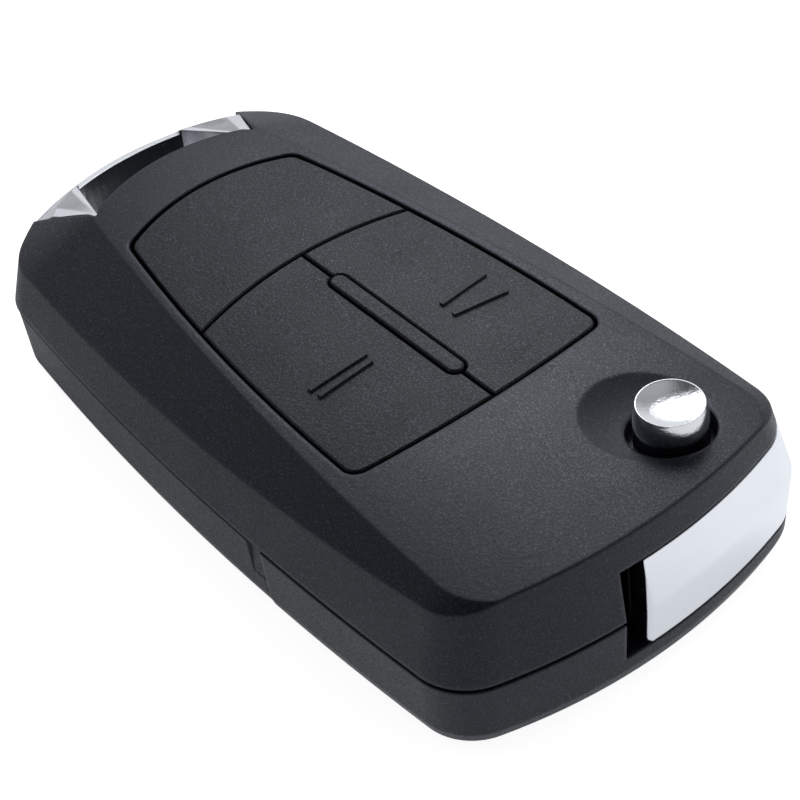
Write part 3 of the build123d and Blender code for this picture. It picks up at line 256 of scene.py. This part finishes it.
brushPattern = {
    "lines": (1.0, 4.0, 0.65),
    "stain": (260.0, 3.0, 0.6),
    "bump_distance": 0.00004,
    "bump_strength": 0.25,
    "line_rough": (0.3, 0.7, -0.08, 0.1),
    "stain_mask": (0.5, 0.75, 0.0, 0.35),
    "stain_color": (0.3, 0.28, 0.25),
}


def brushGroup():
    # Long fine lines left by rolling and milling
    tree, given, result = newGroup("brushed_lines", ("Roughness", "Along", "Across"))
    place = objectPlace(tree)
    stretch = tree.nodes.new("ShaderNodeCombineXYZ")
    for axis, amount in (("X", "Along"), ("Y", "Across"), ("Z", "Across")):
        plug(tree, given[amount], stretch.inputs[axis])
    drawn = addVector(tree, "MULTIPLY", place, stretch.outputs[0])
    lines = addNoise(tree, drawn, *brushPattern["lines"])
    stain = addRange(tree, addNoise(tree, place, *brushPattern["stain"]), *brushPattern["stain_mask"])
    rough = addMath(tree, "ADD", given["Roughness"], addRange(tree, lines, *brushPattern["line_rough"]))
    plug(tree, mixColor(tree, stain, given["Color"], opaque(brushPattern["stain_color"])), result["Color"])
    plug(tree, rough, result["Roughness"])
    plug(tree, addBump(tree, lines, brushPattern["bump_distance"], brushPattern["bump_strength"]), result["Normal"])
    return tree


grain = grainGroup()
polish = polishGroup()
brush = brushGroup()

print("stage: materials")


def firstNode(tree, kind):
    return [n for n in tree.nodes if n.type == kind][0]


def newMaterial(name):
    material = bpy.data.materials.new(name)
    material.use_nodes = True
    tree = material.node_tree
    return material, tree, firstNode(tree, "BSDF_PRINCIPLED")


def useGroup(tree, group, shader, values):
    node = tree.nodes.new("ShaderNodeGroup")
    node.node_tree = group
    for name, value in values.items():
        node.inputs[name].default_value = value
    for name, target in (("Color", "Base Color"), ("Roughness", "Roughness"), ("Normal", "Normal")):
        tree.links.new(node.outputs[name], shader.inputs[target])


def plasticMaterial(name, finish, tint=white, gloss=1.0):
    material, tree, shader = newMaterial(name)
    useGroup(tree, grain, shader, {
        "Color": tinted(finish["color"], tint), "Roughness": finish["roughness"] * gloss,
        "Size": finish["grain_size"], "Bump": finish["grain_bump"],
        "SpeckleAndGlint": finish["speckle_and_glint"], "Edge": finish["edge"],
    })
    shader.inputs["Specular IOR Level"].default_value = finish["specular"]
    shader.inputs["Specular Tint"].default_value = opaque(finish["tint"])
    return material


def metalMaterial(name, finish):
    material, tree, shader = newMaterial(name)
    useGroup(tree, polish, shader, {
        "Color": opaque(finish["color"]), "Roughness": finish["roughness"], "Smudge": finish["smudge"],
        "Ripple": finish["ripple"], "Grit": finish["grit"], "Edge": finish["edge"],
    })
    shader.inputs["Metallic"].default_value = 1.0
    return material


def brushedMaterial(name, finish, tint=white, roughness=None):
    material, tree, shader = newMaterial(name)
    useGroup(tree, brush, shader, {
        "Color": tinted(finish["color"], tint),
        "Roughness": finish["roughness"] if roughness is None else roughness,
        "Along": finish["brush_length"], "Across": finish["brush_width"],
    })
    shader.inputs["Metallic"].default_value = 1.0
    return material


boardFinish = {
    "mask_color": (0.012, 0.075, 0.032),
    "copper_color": (0.03, 0.16, 0.07),
    "tin_color": (0.6, 0.58, 0.52),
    "track_pitch": 900.0,
    "track_wander": 0.85,
    "tracks": (0.28, 0.33, 1.0, 0.0),
    "pads": (0.05, 0.08, 1.0, 0.0),
    "bump_distance": 0.00005,
    "bump_strength": 0.4,
    "roughness": 0.28,
}


def boardMaterial(name):
    # Solder mask over copper tracks, with small tinned pads
    material, tree, shader = newMaterial(name)
    cells = tree.nodes.new("ShaderNodeTexVoronoi")
    cells.distance = "CHEBYCHEV"
    cells.inputs["Scale"].default_value = boardFinish["track_pitch"]
    cells.inputs["Randomness"].default_value = boardFinish["track_wander"]
    plug(tree, objectPlace(tree), cells.inputs["Vector"])
    tracks, pads = (addRange(tree, cells.outputs["Distance"], *boardFinish[name]) for name in ("tracks", "pads"))
    mask = mixColor(tree, tracks, opaque(boardFinish["mask_color"]), opaque(boardFinish["copper_color"]))
    normal = addBump(tree, tracks, boardFinish["bump_distance"], boardFinish["bump_strength"])
    plug(tree, mixColor(tree, pads, mask, opaque(boardFinish["tin_color"])), shader.inputs["Base Color"])
    plug(tree, pads, shader.inputs["Metallic"])
    plug(tree, boardFinish["roughness"], shader.inputs["Roughness"])
    plug(tree, normal, shader.inputs["Normal"])
    return material


windingFinish = {
    "gap_color": (0.12, 0.035, 0.015),
    "wire_color": (0.55, 0.2, 0.07),
    "turns": 1500.0,
    "unevenness": 0.4,
    "bump_distance": 0.00008,
    "metallic": 0.6,
    "roughness": 0.35,
}


def windingMaterial(name):
    # Turns of enamelled wire
    material, tree, shader = newMaterial(name)
    wave = tree.nodes.new("ShaderNodeTexWave")
    wave.bands_direction = "Y"
    wave.inputs["Scale"].default_value = windingFinish["turns"]
    wave.inputs["Distortion"].default_value = windingFinish["unevenness"]
    plug(tree, objectPlace(tree), wave.inputs["Vector"])
    turns = wave.outputs["Fac"]
    color = mixColor(tree, turns, opaque(windingFinish["gap_color"]), opaque(windingFinish["wire_color"]))
    plug(tree, color, shader.inputs["Base Color"])
    plug(tree, windingFinish["metallic"], shader.inputs["Metallic"])
    plug(tree, windingFinish["roughness"], shader.inputs["Roughness"])
    plug(tree, addBump(tree, turns, windingFinish["bump_distance"]), shader.inputs["Normal"])
    return material


caseFinish = {
    "color": (0.0095, 0.0104, 0.0165),
    "roughness": 0.44,
    "grain_size": 6400.0,
    "grain_bump": 0.3,
    "specular": 0.38,
    "tint": (0.88, 0.91, 1.0),
    "speckle_and_glint": 0.80,
    "edge": 0.00045,
}
keyFinish = {
    "color": (0.0125, 0.0134, 0.0168),
    "roughness": 0.50,
    "grain_size": 6800.0,
    "grain_bump": 0.6,
    "specular": 0.30,
    "tint": (0.90, 0.94, 1.0),
    "speckle_and_glint": 0.70,
    "edge": 0.00012,
}
plungerFinish = dict(keyFinish, color=(0.6, 0.6, 0.57))
buttonFinish = {
    "color": (0.80, 0.80, 0.82),
    "roughness": 0.10,
    "smudge": 0.05,
    "ripple": 0.06,
    "grit": 0.5,
    "edge": 0.00004,
}
headFinish = {
    "color": (0.90, 0.91, 0.94),
    "roughness": 0.20,
    "smudge": 0.05,
    "ripple": 0.03,
    "grit": 0.05,
    "edge": 0.00020,
}
loopFinish = {
    "color": (0.78, 0.78, 0.81),
    "roughness": 0.14,
    "smudge": 0.08,
    "ripple": 0.06,
    "grit": 0.12,
    "edge": 0.00016,
}
steelFinish = {
    "color": (0.58, 0.57, 0.55),
    "roughness": 0.30,
    "brush_length": 60.0,
    "brush_width": 2600.0,
}

# Slot: finish, then a tint of its colour, then a share of its roughness (plastic) or a roughness (steel)
slotFinishes = {
    "case_plastic": (plasticMaterial, caseFinish),
    "cover_plastic": (plasticMaterial, caseFinish, (0.97, 0.97, 0.97), 1.04),
    "pad_plastic": (plasticMaterial, keyFinish),
    "key_plastic": (plasticMaterial, keyFinish, (1.02, 1.02, 1.02)),
    "carrier_plastic": (plasticMaterial, caseFinish, (0.7, 0.7, 0.7), 0.9),
    "tray_plastic": (plasticMaterial, caseFinish, (0.9, 0.9, 0.9), 1.1),
    "chip_black": (plasticMaterial, keyFinish, (0.8, 0.8, 0.8), 0.8),
    "plunger_plastic": (plasticMaterial, plungerFinish, white, 0.8),
    "core_plastic": (plasticMaterial, caseFinish, (0.6, 0.6, 0.6), 0.9),
    "button_metal": (metalMaterial, buttonFinish),
    "head_metal": (metalMaterial, headFinish),
    "loop_metal": (metalMaterial, loopFinish),
    "blade_steel": (brushedMaterial, steelFinish),
    "pin_steel": (brushedMaterial, steelFinish, (0.9, 0.9, 0.9)),
    "spring_steel": (brushedMaterial, steelFinish, (0.8, 0.8, 0.82)),
    "screw_steel": (brushedMaterial, steelFinish, (0.75, 0.75, 0.78)),
    "switch_metal": (brushedMaterial, steelFinish, (1.1, 1.1, 1.1), 0.25),
    "can_metal": (brushedMaterial, steelFinish, (1.15, 1.15, 1.12), 0.22),
    "cell_steel": (brushedMaterial, steelFinish, (1.1, 1.1, 1.1), 0.24),
    "contact_metal": (brushedMaterial, steelFinish, (1.15, 0.9, 0.5), 0.25),
    "board_green": (boardMaterial,),
    "coil_copper": (windingMaterial,),
}
slots = {slot: maker(slot, *values) for slot, (maker, *values) in slotFinishes.items()}
for part in frame["record"]["subparts"]:
    materials = nodes[part["node"]].data.materials
    materials.clear()
    materials.append(slots[part["material_slot"]])


def takeMesh(built, name):
    mesh = bpy.data.meshes.new(name)
    built.to_mesh(mesh)
    built.free()
    return mesh


def addObject(name, data):
    made = bpy.data.objects.new(name, data)
    bpy.context.scene.collection.objects.link(made)
    return made


print("stage: key ring loop")

# The cast loop with the flat band that runs along the top of its bar, in millimetres and degrees
loopBand = {
    "drop": 0.60,
    "lean": 14.0,
    "half_length": 5.4,
    "reach": 2.6,
    "overlap": 0.4,  # share of the reach that the cutter goes past its corner
    "inset": 1.5,
    "bar_depth": 1.7,  # where the bar's top is looked for
    "bar_half": 2.0,
    "sharp_angle": 25.0,
}


def bandCutter(corner, across, upward):
    reach = loopBand["reach"] * millimetre
    half = loopBand["half_length"] * millimetre
    past = reach * loopBand["overlap"]
    built = bmesh.new()
    points = []
    for lift in (0.0, reach):
        for side, along in ((-reach, -half), (past, -half), (past, half), (-reach, half)):
            spot = corner + side * across + lift * upward
            points.append(built.verts.new((spot.x, along, spot.z)))
    for face in ((3, 2, 1, 0), (4, 5, 6, 7), (0, 1, 5, 4), (1, 2, 6, 5), (2, 3, 7, 6), (3, 0, 4, 7)):
        built.faces.new([points[i] for i in face])
    return addObject("loop_cutter", takeMesh(built, "loop_cutter"))


def castLoop():
    source = nodes["keyring_loop"]
    low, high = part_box("keyring_loop")
    barTop = max(v.co.z for v in source.data.vertices
                 if v.co.x < low[0] + loopBand["bar_depth"] * millimetre
                 and abs(v.co.y) < loopBand["bar_half"] * millimetre)
    lean = math.radians(loopBand["lean"])
    across = Vector((math.cos(lean), 0.0, math.sin(lean)))
    upward = Vector((-math.sin(lean), 0.0, math.cos(lean)))
    corner = Vector((low[0] + loopBand["inset"] * millimetre, 0.0, barTop - loopBand["drop"] * millimetre))
    cutter = bandCutter(corner, across, upward)
    loop = addObject("keyring_loop_cast", source.data.copy())
    cut = loop.modifiers.new("band", "BOOLEAN")
    cut.operation = "DIFFERENCE"
    cut.solver = "EXACT"
    cut.object = cutter
    bpy.context.view_layer.update()
    loop.data = bpy.data.meshes.new_from_object(loop.evaluated_get(bpy.context.evaluated_depsgraph_get()))
    loop.modifiers.clear()
    bpy.data.objects.remove(cutter)
    loop.data.set_sharp_from_angle(angle=math.radians(loopBand["sharp_angle"]))
    loop.data.materials.clear()
    loop.data.materials.append(slots["loop_metal"])
    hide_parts("keyring_loop")
    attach(loop, "case")


castLoop()

print("stage: release button")

# Plated cap of the release button, turned in one piece: shallow dish, rolled rim, barrel side, hollow below.
# In millimetres and degrees, and the steps are how many rings each run has
buttonShape = {
    "dish_radius": 2.70,
    "dish_depth": 0.42,
    "dish_steps": 12,
    "rim_round": 0.10,
    "rim_steps": 5,
    "dish_below_rim": 0.1,  # share of the rim's rounding
    "barrel": 0.30,
    "barrel_height": 1.9,
    "barrel_steps": 14,
    "wall": 0.8,
    "roof": 1.4,
    "segments": 128,
    "weld": 0.0001,
    "sharp_angle": 40.0,
}


def capProfile(radius, bottom, top):
    # Radius and height of each ring, from the middle of the dish round to the middle of the ceiling
    dish = buttonShape["dish_radius"] * millimetre
    depth = buttonShape["dish_depth"] * millimetre
    roundness = buttonShape["rim_round"] * millimetre
    barrel = buttonShape["barrel"] * millimetre
    tall = buttonShape["barrel_height"] * millimetre
    dishEdge = top - roundness * buttonShape["dish_below_rim"]
    dishSteps, rimSteps, barrelSteps = (buttonShape[run + "_steps"] for run in ("dish", "rim", "barrel"))
    profile = []
    for i in range(dishSteps + 1):
        profile.append((dish * i / dishSteps, dishEdge - depth * (1 - (i / dishSteps) ** 2)))
    for i in range(1, rimSteps + 1):
        angle = math.radians(90 / rimSteps * i)
        profile.append((radius - barrel - roundness * (1 - math.sin(angle)), top - roundness * (1 - math.cos(angle))))
    for i in range(1, barrelSteps + 1):
        share = i / barrelSteps
        profile.append((radius - barrel * (1 - share) ** 2, top - roundness - tall * share))
    inside = radius - buttonShape["wall"] * millimetre
    ceiling = top - buttonShape["roof"] * millimetre
    return profile + [(radius, bottom), (inside, bottom), (inside, ceiling), (0.0, ceiling)]


def releaseCap():
    low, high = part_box("release_button")
    middle = ((low[0] + high[0]) / 2, (low[1] + high[1]) / 2)
    built = bmesh.new()
    line = [built.verts.new((middle[0] + r, middle[1], z))
            for r, z in capProfile((high[0] - low[0]) / 2, low[2], high[2])]
    edges = [built.edges.new((first, second)) for first, second in zip(line, line[1:])]
    bmesh.ops.spin(built, geom=line + edges, cent=(middle[0], middle[1], 0.0), axis=(0.0, 0.0, 1.0),
                   angle=2 * math.pi, steps=buttonShape["segments"], use_duplicate=False)
    bmesh.ops.remove_doubles(built, verts=built.verts, dist=buttonShape["weld"] * millimetre)
    bmesh.ops.recalc_face_normals(built, faces=built.faces)
    for face in built.faces:
        face.smooth = True
    cap = addObject("release_button_cap", takeMesh(built, "release_button_cap"))
    cap.data.set_sharp_from_angle(angle=math.radians(buttonShape["sharp_angle"]))
    cap.data.materials.append(slots["button_metal"])
    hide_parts("release_button")
    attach(cap, "release")


releaseCap()


def pressedCoil():
    coil = addObject("flip_spring_coil", nodes["flip_spring"].data.copy())
    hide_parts("flip_spring")
    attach(coil, "blade")
    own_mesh(coil)


pressedCoil()

print("stage: backdrop")

# Sizes in metres
paperFloor = {
    "half_width": 1.5,
    "height": -0.00005,  # just under the fob, so that the two never lie in one plane
    "color": (0.92, 0.92, 0.92),
    "cloud_color": (0.8, 0.8, 0.8),
    "cloud": (30.0, 3.0, 0.5),
    "cloud_mask": (0.4, 0.6, 0.0, 0.03),
    "roughness": 0.85,
    "white": 0.89,
    "mirror": (-0.06, 0.03, 0.12, 0.57),  # what reflections see of it, rising from one x to the other
}


def paperMaterial(name):
    # Pale paper floor, clean white to the camera apart from the object's soft shadow
    material, tree, shader = newMaterial(name)
    place = objectPlace(tree)
    cloud = addRange(tree, addNoise(tree, place, *paperFloor["cloud"]), *paperFloor["cloud_mask"])
    tone = mixColor(tree, cloud, opaque(paperFloor["color"]), opaque(paperFloor["cloud_color"]))
    plug(tree, tone, shader.inputs["Base Color"])
    plug(tree, paperFloor["roughness"], shader.inputs["Roughness"])
    path = tree.nodes.new("ShaderNodeLightPath")
    hue = mixColor(tree, path.outputs["Is Camera Ray"], opaque(studioTint), opaque(white))
    seen = addMath(tree, "MULTIPLY", path.outputs["Is Camera Ray"], paperFloor["white"])
    spread = tree.nodes.new("ShaderNodeSeparateXYZ")
    plug(tree, place, spread.inputs[0])
    sheen = addRange(tree, spread.outputs["X"], *paperFloor["mirror"])
    mirrored = addMath(tree, "MULTIPLY", path.outputs["Is Glossy Ray"], sheen)
    emission = tree.nodes.new("ShaderNodeEmission")
    plug(tree, hue, emission.inputs["Color"])
    plug(tree, addMath(tree, "ADD", seen, mirrored), emission.inputs["Strength"])
    lit = tree.nodes.new("ShaderNodeAddShader")
    plug(tree, shader.outputs[0], lit.inputs[0])
    plug(tree, emission.outputs[0], lit.inputs[1])
    # From below the floor lets the camera through, so that the underside can be looked at
    under = tree.nodes.new("ShaderNodeNewGeometry")
    through = tree.nodes.new("ShaderNodeBsdfTransparent")
    either = tree.nodes.new("ShaderNodeMixShader")
    plug(tree, under.outputs["Backfacing"], either.inputs[0])
    plug(tree, lit.outputs[0], either.inputs[1])
    plug(tree, through.outputs[0], either.inputs[2])
    plug(tree, either.outputs[0], firstNode(tree, "OUTPUT_MATERIAL").inputs["Surface"])
    return material


def layFloor():
    half = paperFloor["half_width"]
    built = bmesh.new()
    built.faces.new([built.verts.new((x, y, paperFloor["height"]))
                     for x, y in ((-half, -half), (half, -half), (half, half), (-half, half))])
    floor = addObject("floor", takeMesh(built, "floor"))
    floor.data.materials.append(paperMaterial("floor_white"))


layFloor()

print("stage: light and camera")

# Strengths of the surroundings: a low horizon, a wide glow from one side and two soft patches
studioLight = {
    "ambient": 0.09,
    "horizon": (0.0, 0.5, 0.13, 0.0),
    "glow_from": (-0.90, 0.43, 0.0),
    "glow_side": (-0.1, 0.6, 0.0, 1.0),
    "glow_rise": (-0.02, 0.12, 0.0, 1.0),
    "glow_fall": (0.42, 0.78, 0.75, 0.0),
    "side_from": (0.74, 0.66, 0.10),
    "side_patch": (0.80, 0.94, 0.0, 0.62),
    "overhead_from": (-0.05, 0.43, 0.90),
    "overhead_patch": (0.90, 0.97, 0.0, 0.35),
}


def studioWorld():
    world = bpy.data.worlds.new("studio")
    world.use_nodes = True
    tree = world.node_tree
    place = tree.nodes.new("ShaderNodeTexCoord").outputs["Generated"]
    split = tree.nodes.new("ShaderNodeSeparateXYZ")
    plug(tree, place, split.inputs[0])
    side = addRange(tree, addVector(tree, "DOT_PRODUCT", place, studioLight["glow_from"]), *studioLight["glow_side"])
    rise = addRange(tree, split.outputs["Z"], *studioLight["glow_rise"])
    fall = addRange(tree, split.outputs["Z"], *studioLight["glow_fall"])
    glow = addMath(tree, "MULTIPLY", addMath(tree, "MULTIPLY", side, rise), fall)
    low = addRange(tree, split.outputs["Z"], *studioLight["horizon"])
    for patch in ("side", "overhead"):
        aim = Vector(studioLight[patch + "_from"]).normalized()
        near = addRange(tree, addVector(tree, "DOT_PRODUCT", place, aim), *studioLight[patch + "_patch"])
        low = addMath(tree, "ADD", low, near)
    strength = addMath(tree, "ADD", addMath(tree, "ADD", glow, low), studioLight["ambient"])
    # The camera itself sees plain white
    seen = tree.nodes.new("ShaderNodeLightPath").outputs["Is Camera Ray"]
    unseen = addMath(tree, "MULTIPLY", strength, addMath(tree, "SUBTRACT", 1.0, seen))
    background = firstNode(tree, "BACKGROUND")
    plug(tree, addMath(tree, "ADD", unseen, seen), background.inputs["Strength"])
    plug(tree, mixColor(tree, seen, opaque(studioTint), opaque(white)), background.inputs["Color"])
    return world


bpy.context.scene.world = studioWorld()

# Places and sizes in metres, power in watts
keyLamp = {
    "place": (-0.059, 0.058, 0.094),
    "target": (0.024, 0.004, 0.017),
    "width": 0.082,
    "height": 0.062,
    "power": 0.048,
}


def softLamp():
    data = bpy.data.lights.new("key_soft", "AREA")
    data.shape = "ELLIPSE"
    data.size = keyLamp["width"]
    data.size_y = keyLamp["height"]
    data.energy = keyLamp["power"]
    data.color = studioTint
    lamp = addObject("key_soft", data)
    place = Vector(keyLamp["place"])
    direction = Vector(keyLamp["target"]) - place
    lamp.matrix_world = Matrix.Translation(place) @ direction.to_track_quat("-Z", "Y").to_matrix().to_4x4()


softLamp()

# Camera fitted to the photograph: angles in degrees, distances in millimetres
photoCamera = {
    "azimuth": 55.08,
    "elevation": 41.77,
    "roll": -6.62,
    "lens": 135.0,
    "sensor": 36.0,
    "distance": 249.1,
    "offset_right": 0.3204,
    "offset_up": 0.2784,
    "aim": (3.5, 0.0, 7.0),
    "scale": 0.972,
    "clip_start": 10.0,
}


def placeCamera():
    azimuth, elevation, roll = (math.radians(photoCamera[name]) for name in ("azimuth", "elevation", "roll"))
    level = math.cos(elevation)
    back = Vector((math.sin(azimuth) * level, -math.cos(azimuth) * level, math.sin(elevation)))
    sideways = Vector((math.cos(azimuth), math.sin(azimuth), 0.0))
    upright = back.cross(sideways)
    right = math.cos(roll) * sideways + math.sin(roll) * upright
    up = -math.sin(roll) * sideways + math.cos(roll) * upright
    spot = Vector(photoCamera["aim"]) + photoCamera["distance"] * back
    spot = spot + photoCamera["offset_right"] * right + photoCamera["offset_up"] * up
    spot = spot * photoCamera["scale"] * millimetre
    data = bpy.data.cameras.new("camera")
    data.lens = photoCamera["lens"]
    data.sensor_width = photoCamera["sensor"]
    data.clip_start = photoCamera["clip_start"] * millimetre
    camera = addObject("camera", data)
    camera.matrix_world = Matrix((
        (right.x, up.x, back.x, spot.x),
        (right.y, up.y, back.y, spot.y),
        (right.z, up.z, back.z, spot.z),
        (0.0, 0.0, 0.0, 1.0),
    ))
    return camera


bpy.context.scene.camera = placeCamera()
bpy.context.scene.view_settings.view_transform = "Standard"

print("stage: finish")
